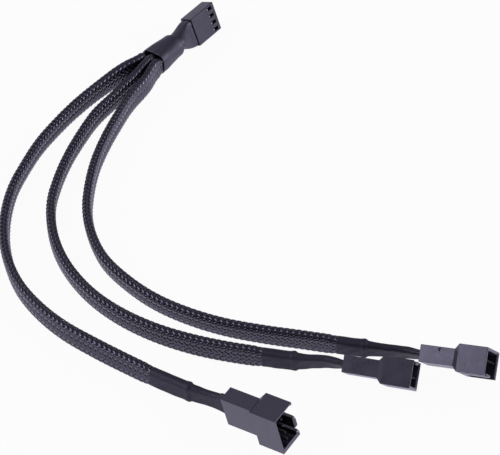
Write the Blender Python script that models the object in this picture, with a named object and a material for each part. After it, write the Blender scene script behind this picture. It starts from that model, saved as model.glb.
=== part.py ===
"""Four-wire fan splitter cable: one socket plug, three pin connectors.

Metres, +Z up.  The hub (plug and its two shrink tubes) lies along +Y with
the plug's mating face toward +Y.  Its three flat braided sleeves stand on
edge, leave toward -Y, bend round toward +X and end in pin connectors.
The origin is on the table under the middle of the hub.
"""
import math

import bmesh
import bpy
import numpy as np
from mathutils import Matrix, Vector

MM = 0.001

# Shared by both kinds of connector
PIN_COUNT = 4
PIN_PITCH = 2.54 * MM
CLEARANCE = 0.3 * MM

# Socket plug at the hub: local +X to the mating face, +Z across the row
PLUG_LENGTH = 12.4 * MM
PLUG_WIDTH = 10.2 * MM
PLUG_THICKNESS = 4.8 * MM
PLUG_LEAN = -21.5
PLUG_EDGE = 0.15 * MM
CAVITY_WIDTH = 1.9 * MM
CAVITY_HEIGHT = 2.2 * MM
FRONT_WALL = 1.1 * MM
ENTRY_SIZE = 1.0 * MM
WINDOW_LENGTH = 2.4 * MM
WINDOW_WIDTH = 1.2 * MM
WINDOW_SETBACK = 1.3 * MM
RIB_WIDTH = 1.0 * MM
RIB_HEIGHT = 0.9 * MM
RIB_SETBACK = 3.0 * MM
TERMINAL_LENGTH = 8.2 * MM
TERMINAL_WALL = 0.3 * MM
TERMINAL_BORE_DEPTH = 4.5 * MM

# Hub shrink tubes, both along the plug's axis
WIRE_SHRINK_LENGTH = 8.8 * MM
WIRE_SHRINK_INSET = 0.3 * MM
WIRE_SHRINK_WAIST = 6.6 * MM
SLEEVE_SHRINK_LENGTH = 11.3 * MM
SLEEVE_SHRINK_THROAT = 8.4 * MM
SLEEVE_SHRINK_WALL = 0.4 * MM
SLEEVE_SHRINK_RISE = 0.5 * MM
SLEEVE_SHRINK_CORNER = 2.4 * MM

# Flat braided sleeves
SLEEVE_WIDTH = 7.1 * MM
SLEEVE_THICKNESS = 2.6 * MM
SLEEVE_STEP = 6.5 * MM
LEAD_LENGTH = 2.5 * MM
TIP_LEAD_LENGTH = 4.0 * MM

# End shrink tubes, over the sleeve and then over the row of wires
END_SHRINK_WALL = 0.25 * MM
END_SHRINK_SQUEEZE = 0.45 * MM
RIDGE_LIFT = 0.5 * MM
RIDGE_LENGTH = 1.0 * MM
WIRE_DIAMETER = 1.2 * MM
WIRE_SHRINK_WALL = 0.3 * MM
FLARE_LENGTH = 3.4 * MM

# Pin connector: local +X to the mouth, +Z across the row, key wall at +Y
REAR_LENGTH = 9.9 * MM
REAR_WIDTH = 10.2 * MM
REAR_THICKNESS = 4.9 * MM
STEP_LENGTH = 1.45 * MM
SHROUD_LENGTH = 8.25 * MM
SHROUD_WALL = 0.85 * MM
MATING_CLEARANCE = 0.3 * MM
SHROUD_FLOOR = 0.5 * MM
KEY_WIDTH = 4.2 * MM
KEY_RADIUS = 1.0 * MM
KEY_PIN = 2
SLOT_DEPTH = 7.0 * MM
SLOT_CLEARANCE = 0.1 * MM
LEAD_IN = 0.42 * MM
PIN_SIZE = 0.64 * MM
PIN_RECESS = 0.6 * MM
RECESS_DEPTH = 1.5 * MM
RECESS_WIDTH = 1.9 * MM
RECESS_HEIGHT = 2.8 * MM

# Each branch: the sleeve's place across the hub, the route of its centre
# line on the table, the lean in degrees of the flat sleeve at even steps
# along it, the end shrink tube's length and the sleeve's length inside it,
# all in millimetres, and the connector's rear centre with its heading,
# climb and roll in degrees.
BRANCHES = {
    "left": {
        "place": -1,
        "route": [
            (-4.9, -25.5, 5.1), (-7.1, -36.5, 4.2), (-8.0, -47.3, 3.7),
            (-7.4, -58.5, 3.7), (-5.8, -69.5, 3.7), (-2.8, -80.2, 3.7),
            (1.4, -90.5, 3.7), (6.8, -100.2, 3.7), (13.6, -109.1, 3.7),
            (21.7, -116.7, 3.7), (31.0, -122.8, 3.7), (41.4, -126.8, 3.7),
            (52.3, -129.0, 3.7), (63.4, -129.5, 3.7), (74.5, -129.4, 3.7),
            (85.6, -129.0, 3.8), (96.0, -128.2, 4.1),
        ],
        "lean": [0, -3, -7, -8, -8, 0, 8, 7, 4, 1, 3],
        "shrink_length": 24.7,
        "sleeve_inside": 12.3,
        "rear": (109.0, -127.45),
        "heading": -1.0,
        "climb": 9.8,
        "roll": 6.9,
    },
    "middle": {
        "place": 0,
        "route": [
            (-0.3, -25.5, 4.9), (-0.3, -36.5, 4.0), (0.2, -47.6, 3.7),
            (2.4, -58.5, 3.7), (5.6, -69.3, 3.7), (9.8, -79.6, 3.7),
            (15.5, -89.2, 3.7), (22.7, -97.7, 3.7), (31.3, -104.9, 3.7),
            (41.0, -110.3, 3.7), (51.6, -113.9, 3.7), (62.6, -115.4, 3.7),
            (73.8, -115.0, 3.7), (84.8, -112.9, 3.7), (95.5, -109.8, 4.1),
            (105.9, -105.9, 4.6), (115.0, -102.3, 5.3),
        ],
        "lean": [0, -4, -6, -8, -6, 2, 8, 10, 7, 2, 4],
        "shrink_length": 23.4,
        "sleeve_inside": 9.3,
        "rear": (127.5, -97.4),
        "heading": 18.4,
        "climb": 3.6,
        "roll": 41.1,
    },
    "right": {
        "place": 1,
        "route": [
            (3.9, -25.5, 4.9), (5.3, -35.5, 4.0), (7.5, -46.0, 3.7),
            (10.6, -56.8, 3.7), (14.7, -67.3, 3.7), (20.0, -77.2, 3.7),
            (26.6, -86.4, 3.7), (34.9, -94.0, 3.7), (44.6, -99.8, 3.7),
            (55.4, -103.2, 3.7), (66.6, -104.8, 3.7), (77.9, -104.2, 3.7),
            (89.0, -101.9, 3.7), (99.6, -98.1, 3.7), (110.0, -93.6, 3.7),
            (120.4, -89.2, 3.8), (130.0, -85.1, 4.2),
        ],
        "lean": [0, 2, 0, -1, 2, 10, 14, 14, 13, 10, 9],
        "shrink_length": 24.6,
        "sleeve_inside": 8.0,
        "rear": (142.8, -80.6),
        "heading": 14.0,
        "climb": 10.0,
        "roll": -139.4,
    },
}

# Sizes that follow from the values above
ROW_SPAN = (PIN_COUNT - 1) * PIN_PITCH
HUB_LENGTH = PLUG_LENGTH + 2 * CLEARANCE + WIRE_SHRINK_LENGTH + SLEEVE_SHRINK_LENGTH
PLUG_REAR_Y = HUB_LENGTH / 2 - PLUG_LENGTH
SHROUD_WIDTH = PLUG_WIDTH + 2 * SHROUD_WALL + 3.5 * MATING_CLEARANCE
SHROUD_THICKNESS = PLUG_THICKNESS + RIB_HEIGHT + 2 * SHROUD_WALL + 1.5 * MATING_CLEARANCE
SOCKET_LENGTH = REAR_LENGTH + STEP_LENGTH + SHROUD_LENGTH
PIN_ROW_Y = -SHROUD_THICKNESS / 2 + SHROUD_WALL + MATING_CLEARANCE / 2 + PLUG_THICKNESS / 2
SLEEVE_PITCH = SLEEVE_THICKNESS + CLEARANCE
BUNDLE_WIDTH = 3 * SLEEVE_THICKNESS + 2 * CLEARANCE + 2 * SLEEVE_SHRINK_WALL
BUNDLE_HEIGHT = SLEEVE_WIDTH + 3 * SLEEVE_SHRINK_WALL


def pin_places():
    """Return the four places across a connector's row, pin 1 first."""
    return [PIN_PITCH * i - ROW_SPAN / 2 for i in range(PIN_COUNT)]


def make_material(name, colour, roughness, metallic=0.0):
    """Return a Principled material with these values."""
    material = bpy.data.materials.new(name)
    material.use_nodes = True
    shader = material.node_tree.nodes["Principled BSDF"]
    shader.inputs["Base Color"].default_value = (*colour, 1.0)
    shader.inputs["Roughness"].default_value = roughness
    shader.inputs["Metallic"].default_value = metallic
    material.diffuse_color = (*colour, 1.0)
    return material


def add_object(name, mesh, material, parent=None):
    """Link a mesh as an object with its own material."""
    mesh.materials.append(material)
    part = bpy.data.objects.new(name, mesh)
    part.parent = parent
    bpy.context.scene.collection.objects.link(part)
    return part


def mesh_from_bmesh(name, work):
    """Write a bmesh to a new mesh with its faces pointing out."""
    bmesh.ops.recalc_face_normals(work, faces=work.faces[:])
    mesh = bpy.data.meshes.new(name)
    work.to_mesh(mesh)
    work.free()
    return mesh


def add_box(work, low, high):
    """Add an axis-aligned box to a bmesh and return its vertices."""
    size = [b - a for a, b in zip(low, high)]
    middle = [(a + b) / 2 for a, b in zip(low, high)]
    place = Matrix.Translation(middle) @ Matrix.Diagonal((*size, 1.0))
    return bmesh.ops.create_cube(work, size=1.0, matrix=place)["verts"]


def boxes_mesh(name, boxes):
    """Return one mesh of separate boxes, each a (low, high) pair."""
    work = bmesh.new()
    for low, high in boxes:
        add_box(work, low, high)
    return mesh_from_bmesh(name, work)


def cut(part, name, mesh):
    """Cut a part with a hidden mesh that shares its parent."""
    cutter = bpy.data.objects.new(name, mesh)
    cutter.parent = part.parent
    cutter.hide_render = True
    cutter.display_type = "WIRE"
    bpy.context.scene.collection.objects.link(cutter)
    modifier = part.modifiers.new(name, "BOOLEAN")
    modifier.operation = "DIFFERENCE"
    modifier.solver = "EXACT"
    modifier.object = cutter
    return cutter


def rounded_outline(width, thickness, radius, corner_steps=3):
    """Return (y, z) points of a rounded rectangle, width along z."""
    radius = min(radius, width / 2 - 0.05 * MM, thickness / 2 - 0.05 * MM)
    points = []
    for corner, (sy, sz) in enumerate(((1, 1), (-1, 1), (-1, -1), (1, -1))):
        for i in range(corner_steps + 1):
            angle = math.pi / 2 * (corner + i / corner_steps)
            y = sy * (thickness / 2 - radius) + radius * math.cos(angle)
            z = sz * (width / 2 - radius) + radius * math.sin(angle)
            points.append((y, z))
    return points


def loft_mesh(name, rings):
    """Return a closed mesh through rings of equal point counts."""
    work = bmesh.new()
    loops = [[work.verts.new(point) for point in ring] for ring in rings]
    count = len(loops[0])
    for near, far in zip(loops, loops[1:]):
        for i in range(count):
            j = (i + 1) % count
            work.faces.new((near[i], near[j], far[j], far[i]))
    work.faces.new(loops[0][::-1])
    work.faces.new(loops[-1])
    return mesh_from_bmesh(name, work)


def smooth_route(points, step):
    """Return evenly spaced points on a smooth curve through some points.

    The curve is a cubic between each pair of points, with the tangent at a
    point taken from its two neighbours, by distance along the route.
    """
    p = np.array(points, dtype=float)
    s = np.concatenate([[0.0], np.cumsum(np.linalg.norm(np.diff(p, axis=0), axis=1))])
    slope = np.gradient(p, s, axis=0)
    fine = np.linspace(0.0, s[-1], 1200)
    k = np.clip(np.searchsorted(s, fine, side="right") - 1, 0, len(s) - 2)
    h = (s[k + 1] - s[k])[:, None]
    t = (fine[:, None] - s[k][:, None]) / h
    curve = (
        (2 * t**3 - 3 * t**2 + 1) * p[k]
        + (t**3 - 2 * t**2 + t) * h * slope[k]
        + (3 * t**2 - 2 * t**3) * p[k + 1]
        + (t**3 - t**2) * h * slope[k + 1]
    )
    run = np.concatenate([[0.0], np.cumsum(np.linalg.norm(np.diff(curve, axis=0), axis=1))])
    count = max(2, int(round(run[-1] / step)) + 1)
    even = np.linspace(0.0, run[-1], count)
    return np.stack([np.interp(even, run, curve[:, i]) for i in range(3)], axis=1), even


def frame_at(direction, roll):
    """Return the axes X, Y, Z that point along a direction with a roll.

    Y lies level to the left of the direction before the roll, in degrees,
    turns Y toward Z about X.
    """
    x = Vector(direction).normalized()
    y = Vector((-x.y, x.x, 0.0)).normalized()
    z = x.cross(y)
    turn = math.radians(roll)
    return x, y * math.cos(turn) + z * math.sin(turn), z * math.cos(turn) - y * math.sin(turn)


def heading_direction(heading, climb):
    """Return the unit vector of a heading and a climb in degrees."""
    a, b = math.radians(heading), math.radians(climb)
    return Vector((math.cos(a) * math.cos(b), math.sin(a) * math.cos(b), math.sin(b)))


def axes_matrix(axes, place):
    """Return the world matrix of three axes at a place."""
    turn = Matrix((axes[0], axes[1], axes[2])).transposed().to_4x4()
    return Matrix.Translation(place) @ turn


def add_empty(name, matrix):
    """Add an empty that carries one connector."""
    empty = bpy.data.objects.new(name, None)
    empty.empty_display_size = 2 * PIN_PITCH
    empty.matrix_world = matrix
    bpy.context.scene.collection.objects.link(empty)
    return empty


def lowest_corner(axes, sections):
    """Return how far the lowest corner of box sections lies below the axis.

    Each section is (x, width, thickness) in the connector's own axes.
    """
    low = 0.0
    for x, width, thickness in sections:
        for sy in (-0.5, 0.5):
            for sz in (-0.5, 0.5):
                corner = axes[0] * x + axes[1] * (sy * thickness) + axes[2] * (sz * width)
                low = min(low, corner.z)
    return -low


def key_centre():
    """Return where the key tab lies across the pin row."""
    return (KEY_PIN - (PIN_COUNT + 1) / 2) * PIN_PITCH


def build_plug():
    """Build the socket plug's housing and its four terminals."""
    axes = frame_at((0.0, 1.0, 0.0), PLUG_LEAN)
    sections = [
        (0.0, PLUG_WIDTH - 2 * PLUG_EDGE, PLUG_THICKNESS),
        (0.0, PLUG_WIDTH, PLUG_THICKNESS - 2 * PLUG_EDGE),
    ]
    height = lowest_corner(axes, sections)
    carrier = add_empty("plug_axis", axes_matrix(axes, Vector((0.0, PLUG_REAR_Y, height))))

    work = bmesh.new()
    add_box(
        work,
        (0.0, -PLUG_THICKNESS / 2, -PLUG_WIDTH / 2),
        (PLUG_LENGTH, PLUG_THICKNESS / 2, PLUG_WIDTH / 2),
    )
    bmesh.ops.bevel(work, geom=work.edges[:], offset=PLUG_EDGE, segments=1, affect="EDGES")
    mesh = mesh_from_bmesh("plug_housing", work)
    black = make_material("housing_plug", (0.028, 0.027, 0.034), 0.45)
    housing = add_object("plug_housing", mesh, black, carrier)

    places = pin_places()
    rib_offset = KEY_WIDTH / 2 + SLOT_CLEARANCE + RIB_WIDTH / 2
    ribs = [key_centre() - rib_offset, key_centre() + rib_offset]
    rib_mesh = boxes_mesh("plug_ribs", [
        (
            (RIB_SETBACK, PLUG_THICKNESS / 2 - 0.5 * MM, z - RIB_WIDTH / 2),
            (PLUG_LENGTH - PLUG_EDGE, PLUG_THICKNESS / 2 + RIB_HEIGHT, z + RIB_WIDTH / 2),
        )
        for z in ribs
    ])
    rib_guide = cut(housing, "plug_ribs", rib_mesh)
    housing.modifiers[rib_guide.name].operation = "UNION"
    cut(housing, "plug_cavities", boxes_mesh("plug_cavities", [
        (
            (-MM, -CAVITY_HEIGHT / 2, z - CAVITY_WIDTH / 2),
            (PLUG_LENGTH - FRONT_WALL, CAVITY_HEIGHT / 2, z + CAVITY_WIDTH / 2),
        )
        for z in places
    ]))
    cut(housing, "plug_entries", boxes_mesh("plug_entries", [
        (
            (PLUG_LENGTH - FRONT_WALL - 0.2 * MM, -ENTRY_SIZE / 2, z - ENTRY_SIZE / 2),
            (PLUG_LENGTH + MM, ENTRY_SIZE / 2, z + ENTRY_SIZE / 2),
        )
        for z in places
    ]))
    cut(housing, "plug_windows", boxes_mesh("plug_windows", [
        (
            (PLUG_LENGTH - WINDOW_SETBACK - WINDOW_LENGTH, -PLUG_THICKNESS / 2 - MM,
             z - WINDOW_WIDTH / 2),
            (PLUG_LENGTH - WINDOW_SETBACK, 0.0, z + WINDOW_WIDTH / 2),
        )
        for z in places
    ]))

    half = CAVITY_WIDTH / 2 - CLEARANCE
    bore = half - TERMINAL_WALL
    start = CLEARANCE
    for number, z in enumerate(places, 1):
        metal = make_material(f"terminal_{number}", (0.72, 0.68, 0.60), 0.3, 1.0)
        name = f"plug_terminal_{number}"
        box = boxes_mesh(name, [((start, -half, z - half), (start + TERMINAL_LENGTH, half, z + half))])
        terminal = add_object(name, box, metal, carrier)
        end = start + TERMINAL_LENGTH
        cut(terminal, f"terminal_bore_{number}", boxes_mesh(f"terminal_bore_{number}", [
            ((end - TERMINAL_BORE_DEPTH, -bore, z - bore), (end + MM, bore, z + bore)),
        ]))
    return height


def build_hub_shrinks(height):
    """Build the shrink tube on the wires and the one on the sleeves."""
    axes = frame_at((0.0, 1.0, 0.0), PLUG_LEAN)
    upright = frame_at((0.0, 1.0, 0.0), 0.0)
    flat_width = PLUG_WIDTH - 2 * WIRE_SHRINK_INSET
    flat_thickness = PLUG_THICKNESS - 2 * WIRE_SHRINK_INSET
    waist = WIRE_SHRINK_WAIST
    # Share of the way from the plug to the sleeve shrink, width, thickness, lift
    stations = [
        (0.0, flat_width, flat_thickness, 0.0),
        (0.18, flat_width * 0.97, flat_thickness, 0.0),
        (0.45, waist * 1.16, waist * 0.82, 0.25),
        (0.72, waist * 1.04, waist * 0.94, 0.7),
        (1.0, waist, waist, 1.0),
    ]
    rings = []
    for share, width, thickness, lift in stations:
        y = PLUG_REAR_Y - CLEARANCE - share * WIRE_SHRINK_LENGTH
        centre = Vector((0.0, y, height + lift * SLEEVE_SHRINK_RISE))
        outline = rounded_outline(width, thickness, thickness / 2)
        rings.append([centre + axes[1] * a + axes[2] * b for a, b in outline])
    black = make_material("shrink_wires", (0.034, 0.032, 0.042), 0.5)
    add_object("hub_wire_shrink", loft_mesh("hub_wire_shrink", rings), black)

    throat = SLEEVE_SHRINK_THROAT
    stations = [
        (0.0, throat - 0.5 * MM, throat - 0.5 * MM, throat / 2),
        (0.05, throat, throat, throat / 2),
        (0.45, BUNDLE_HEIGHT, (BUNDLE_WIDTH + throat) / 2, SLEEVE_SHRINK_CORNER * 1.3),
        (1.0, BUNDLE_HEIGHT, BUNDLE_WIDTH, SLEEVE_SHRINK_CORNER),
    ]
    rings = []
    for share, tall, wide, corner in stations:
        y = PLUG_REAR_Y - 2 * CLEARANCE - WIRE_SHRINK_LENGTH - share * SLEEVE_SHRINK_LENGTH
        centre = Vector((0.0, y, height + SLEEVE_SHRINK_RISE))
        outline = rounded_outline(tall, wide, corner, 4)
        rings.append([centre + upright[1] * a + upright[2] * b for a, b in outline])
    black = make_material("shrink_hub", (0.034, 0.032, 0.042), 0.5)
    add_object("hub_sleeve_shrink", loft_mesh("hub_sleeve_shrink", rings), black)
    return height + SLEEVE_SHRINK_RISE


def socket_sections():
    """Return the pin connector's outline: (x, width, thickness) rows."""
    step = REAR_LENGTH + STEP_LENGTH
    return [
        (0.0, REAR_WIDTH, REAR_THICKNESS),
        (REAR_LENGTH, REAR_WIDTH, REAR_THICKNESS),
        (step, SHROUD_WIDTH, SHROUD_THICKNESS),
        (SOCKET_LENGTH, SHROUD_WIDTH, SHROUD_THICKNESS),
    ]


def build_socket(name, axes, rear):
    """Build one pin connector: shrouded housing and four pins."""
    carrier = add_empty(f"{name}_axis", axes_matrix(axes, rear))
    rings = []
    for x, width, thickness in socket_sections():
        w, t = width / 2, thickness / 2
        rings.append([(x, t, w), (x, -t, w), (x, -t, -w), (x, t, -w)])
    mesh = loft_mesh(f"{name}_housing", rings)
    black = make_material(f"housing_{name}", (0.028, 0.027, 0.034), 0.45)
    housing = add_object(f"{name}_housing", mesh, black, carrier)

    inner_y = SHROUD_THICKNESS / 2 - SHROUD_WALL
    inner_z = SHROUD_WIDTH / 2 - SHROUD_WALL
    floor = REAR_LENGTH + STEP_LENGTH + SHROUD_FLOOR
    cut(housing, f"{name}_cavity", boxes_mesh(f"{name}_cavity", [
        ((floor, -inner_y, -inner_z), (SOCKET_LENGTH + MM, inner_y, inner_z)),
    ]))
    rings = []
    for steps in (-2, 2):
        x = SOCKET_LENGTH + steps * LEAD_IN
        y, z = inner_y + (steps + 1) * LEAD_IN, inner_z + (steps + 1) * LEAD_IN
        rings.append([(x, y, z), (x, -y, z), (x, -y, -z), (x, y, -z)])
    cut(housing, f"{name}_lead_in", loft_mesh(f"{name}_lead_in", rings))
    key = key_centre()
    slot_start = SOCKET_LENGTH - SLOT_DEPTH
    wall_in = inner_y - 0.2 * MM
    wall_out = SHROUD_THICKNESS / 2 + MM
    lip = key - KEY_WIDTH / 2 - RIB_WIDTH - 2 * SLOT_CLEARANCE
    cut(housing, f"{name}_slots", boxes_mesh(f"{name}_slots", [
        ((slot_start, wall_in, lip), (SOCKET_LENGTH + MM, wall_out, key - KEY_WIDTH / 2)),
        ((slot_start, wall_in, key + KEY_WIDTH / 2), (SOCKET_LENGTH + MM, wall_out, inner_z)),
    ]))
    work = bmesh.new()
    for side, outer in ((-1, key - KEY_WIDTH / 2), (1, key + KEY_WIDTH / 2), (1, lip)):
        corner = []
        for i in range(5):
            angle = math.pi / 2 * i / 4
            corner.append((
                SOCKET_LENGTH - KEY_RADIUS * (1 - math.sin(angle)),
                outer - side * KEY_RADIUS * (1 - math.cos(angle)),
            ))
        reach = outer + side * 0.3 * MM
        outline = corner + [
            (SOCKET_LENGTH + MM, outer - side * KEY_RADIUS),
            (SOCKET_LENGTH + MM, reach),
            (SOCKET_LENGTH - KEY_RADIUS, reach),
        ]
        low = [work.verts.new((x, wall_in, z)) for x, z in outline]
        high = [work.verts.new((x, wall_out, z)) for x, z in outline]
        work.faces.new(low)
        work.faces.new(high[::-1])
        for i in range(len(outline)):
            j = (i + 1) % len(outline)
            work.faces.new((low[i], low[j], high[j], high[i]))
    cut(housing, f"{name}_corners", mesh_from_bmesh(f"{name}_corners", work))
    cut(housing, f"{name}_recesses", boxes_mesh(f"{name}_recesses", [
        (
            (-MM, -RECESS_HEIGHT / 2, z - RECESS_WIDTH / 2),
            (RECESS_DEPTH, RECESS_HEIGHT / 2, z + RECESS_WIDTH / 2),
        )
        for z in pin_places()
    ]))

    half = PIN_SIZE / 2
    for number, z in enumerate(pin_places(), 1):
        metal = make_material(f"{name}_metal_{number}", (0.72, 0.68, 0.60), 0.3, 1.0)
        start, end = floor + CLEARANCE, SOCKET_LENGTH - PIN_RECESS
        rings = []
        for x, share in ((start, 1.0), (end - PIN_SIZE / 2, 1.0), (end, 0.5)):
            h = half * share
            rings.append([
                (x, PIN_ROW_Y + h, z + h), (x, PIN_ROW_Y - h, z + h),
                (x, PIN_ROW_Y - h, z - h), (x, PIN_ROW_Y + h, z - h),
            ])
        pin_name = f"{name}_pin_{number}"
        add_object(pin_name, loft_mesh(pin_name, rings), metal, carrier)


def lean_at(leans, share):
    """Return a sleeve's lean in degrees at a share of its length."""
    even = np.linspace(0.0, 1.0, len(leans))
    return float(np.interp(share, even, leans))


def flat_roll(roll):
    """Return the same roll of a flat section, between -90 and 90 degrees."""
    return (roll + 90.0) % 180.0 - 90.0


def build_branch(side, data, hub_height):
    """Build one sleeve, its end shrink tube and its pin connector."""
    direction = heading_direction(data["heading"], data["climb"])
    axes = frame_at(direction, data["roll"])
    height = lowest_corner(axes, socket_sections())
    rear = Vector((data["rear"][0] * MM, data["rear"][1] * MM, height))
    build_socket(f"{side}_socket", axes, rear)

    mouth_y = PLUG_REAR_Y - 3 * CLEARANCE - WIRE_SHRINK_LENGTH - SLEEVE_SHRINK_LENGTH
    start = (data["place"] * SLEEVE_PITCH, mouth_y, hub_height)
    lead = (start[0], mouth_y - LEAD_LENGTH, hub_height)
    tip = rear - direction * CLEARANCE
    route = [start, lead] + [tuple(c * MM for c in p) for p in data["route"]]
    route += [tuple(tip - direction * TIP_LEAD_LENGTH), tuple(tip)]
    dense, run = smooth_route(route, 0.25 * MM)
    shrink_start = run[-1] - data["shrink_length"] * MM

    sleeve_end = shrink_start - CLEARANCE
    steps = int(round((sleeve_end - LEAD_LENGTH) / SLEEVE_STEP)) + 1
    places = np.concatenate([[0.0], np.linspace(LEAD_LENGTH, sleeve_end, steps)])
    count = len(places)
    curve = bpy.data.curves.new(f"{side}_sleeve", "CURVE")
    curve.dimensions = "3D"
    curve.twist_mode = "Z_UP"
    curve.extrude = (SLEEVE_WIDTH - SLEEVE_THICKNESS) / 2
    curve.bevel_depth = SLEEVE_THICKNESS / 2
    curve.bevel_resolution = 2
    curve.use_fill_caps = True
    spline = curve.splines.new("POLY")
    spline.points.add(count - 1)
    for i, place in enumerate(places):
        point = [np.interp(place, run, dense[:, k]) for k in range(3)]
        spline.points[i].co = (*point, 1.0)
        spline.points[i].tilt = math.radians(lean_at(data["lean"], place / places[-1]))
    black = make_material(f"braid_{side}", (0.022, 0.021, 0.028), 0.7)
    curve.materials.append(black)
    sleeve = bpy.data.objects.new(f"{side}_sleeve", curve)
    bpy.context.scene.collection.objects.link(sleeve)

    inside = data["sleeve_inside"] * MM
    length = run[-1] - shrink_start
    over_width = SLEEVE_WIDTH - END_SHRINK_SQUEEZE
    over_thickness = SLEEVE_THICKNESS + 2 * END_SHRINK_WALL
    row_width = PIN_COUNT * WIRE_DIAMETER + 2 * WIRE_SHRINK_WALL
    row_thickness = WIRE_DIAMETER + 2 * WIRE_SHRINK_WALL
    flare_width = ROW_SPAN + WIRE_DIAMETER - CLEARANCE
    # Distance into the tube, width, thickness, share of the turn to the roll
    stations = [
        (0.0, over_width, over_thickness, 0.0),
        (inside * 0.5, over_width, over_thickness, 0.02),
        (inside - 1.6 * RIDGE_LENGTH, over_width, over_thickness, 0.05),
        (inside - 0.4 * RIDGE_LENGTH, over_width + RIDGE_LIFT, over_thickness + RIDGE_LIFT, 0.06),
        (inside + 0.2 * RIDGE_LENGTH, over_width + RIDGE_LIFT, over_thickness + RIDGE_LIFT, 0.08),
        (inside + 1.7 * RIDGE_LENGTH, row_width + RIDGE_LIFT, row_thickness + RIDGE_LIFT, 0.15),
        (inside + 3.2 * RIDGE_LENGTH, row_width, row_thickness, 0.25),
        (length - FLARE_LENGTH * 1.6, row_width, row_thickness, 0.45),
        (length - FLARE_LENGTH * 0.6, (row_width * 2 + flare_width) / 3, row_thickness, 0.8),
        (length, flare_width, WIRE_DIAMETER + WIRE_SHRINK_WALL, 1.0),
    ]
    rings = []
    for place, width, thickness, share in stations:
        s = min(shrink_start + place, run[-1])
        point = Vector([np.interp(s, run, dense[:, k]) for k in range(3)])
        back = Vector([np.interp(s - 0.5 * MM, run, dense[:, k]) for k in range(3)])
        ahead = Vector([np.interp(min(s + 0.5 * MM, run[-1]), run, dense[:, k]) for k in range(3)])
        lean = data["lean"][-1]
        roll = lean + (flat_roll(data["roll"]) - lean) * share
        section = frame_at(ahead - back, roll)
        outline = rounded_outline(width, thickness, thickness / 2)
        rings.append([point + section[1] * a + section[2] * b for a, b in outline])
    black = make_material(f"shrink_{side}", (0.034, 0.032, 0.042), 0.5)
    name = f"{side}_end_shrink"
    add_object(name, loft_mesh(name, rings), black)


def main():
    """Clear the scene and build the cable."""
    for old in list(bpy.data.objects):
        bpy.data.objects.remove(old, do_unlink=True)
    height = build_plug()
    hub_height = build_hub_shrinks(height)
    for side, data in BRANCHES.items():
        build_branch(side, data, hub_height)
    bpy.context.view_layer.update()


main()
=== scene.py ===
"""Visual model of a four-wire fan splitter cable.

Sizes in the classes are millimetres and the meshes are written in metres, in
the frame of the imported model: +Z up, the hub along +Y with the plug's mating
face toward +Y, the origin on the table under the middle of the hub.  Every
connector has its own axes: X to its mouth, Y across its thickness, Z across
its row of contacts.
"""
from __future__ import annotations

import logging
import math
from dataclasses import dataclass, field
from enum import Enum

import bmesh
import bpy
import numpy as np
from mathutils import Matrix


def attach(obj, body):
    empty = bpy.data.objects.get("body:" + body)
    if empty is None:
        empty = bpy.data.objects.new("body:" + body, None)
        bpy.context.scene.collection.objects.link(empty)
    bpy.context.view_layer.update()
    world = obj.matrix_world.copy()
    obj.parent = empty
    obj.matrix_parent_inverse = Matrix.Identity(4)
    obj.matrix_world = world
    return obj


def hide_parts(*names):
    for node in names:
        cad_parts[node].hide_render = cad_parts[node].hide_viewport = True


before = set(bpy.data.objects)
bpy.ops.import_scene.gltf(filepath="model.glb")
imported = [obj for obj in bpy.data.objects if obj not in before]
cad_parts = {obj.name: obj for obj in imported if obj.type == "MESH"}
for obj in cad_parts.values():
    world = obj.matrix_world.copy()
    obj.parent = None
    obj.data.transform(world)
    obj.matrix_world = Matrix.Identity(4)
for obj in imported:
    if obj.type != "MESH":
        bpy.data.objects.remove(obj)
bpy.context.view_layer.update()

MM = 0.001
LOG = logging.getLogger("fan_splitter")

PIN_PITCH = 2.54
PIN_COUNT = 4
CLEARANCE = 0.3
PIN_PLACES = (np.arange(PIN_COUNT) - (PIN_COUNT - 1) / 2) * PIN_PITCH
SLEEVE_PITCH = 2.9
ROW_GATHER = 0.93

FLAT_SHARE = 0.29
EDGE_SHARE = 0.21
FLAT_ANGLE = math.radians(1.5)
SHARP_ANGLE = math.radians(25)
SMOOTH_ANGLE = math.radians(50)

Array = np.ndarray
Pair = tuple[float, float]
Triple = tuple[float, float, float]
Material = bpy.types.Material
Mesh = bpy.types.Mesh
Piece = bpy.types.Object
Socket = bpy.types.NodeSocket


class Side(Enum):
    """The three branches, named from the left across the hub."""

    LEFT = "left"
    MIDDLE = "middle"
    RIGHT = "right"


class Slot(Enum):
    """The record's material slots."""

    PLUG = "nylon_plug"
    SOCKET = "nylon_socket"
    METAL = "contact_metal"
    SHRINK = "shrink_tube"
    BRAID = "braid"


class Lay(Enum):
    """The two ways in which a braid's strands wind round the sleeve."""

    RIGHT_HAND = 1
    LEFT_HAND = -1


# --------------------------------------------------------------------------
# Numbers and surfaces
# --------------------------------------------------------------------------


def unit(vectors: Array) -> Array:
    """Return vectors scaled to length one, along the last axis."""
    return vectors / np.linalg.norm(vectors, axis=-1, keepdims=True)


def ease(value: Array | float, low: float, high: float) -> Array:
    """Return a smooth step from 0 at low to 1 at high.

    With t the clipped share of the way from low to high, it is 3t^2 - 2t^3.

    Args:
        value: Where to work it out.
        low: The value below which the step is 0.
        high: The value above which the step is 1.

    Returns:
        The step, of the same shape as value.
    """
    t = np.clip((np.asarray(value, dtype=float) - low) / (high - low), 0.0, 1.0)
    return t * t * (3.0 - 2.0 * t)


def full_turn(count: int) -> Array:
    """Return evenly spaced angles round a circle, in radians."""
    return np.linspace(0.0, 2 * math.pi, count, endpoint=False)


def grid(*parts: Array) -> Array:
    """Return points from their X, Y and Z, spread over one grid."""
    return np.stack(np.broadcast_arrays(*parts), axis=-1)


def bent(value: Array, power: Array | float) -> Array:
    """Return the power of a value's size, with its sign."""
    return np.sign(value) * np.abs(value) ** power


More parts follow.
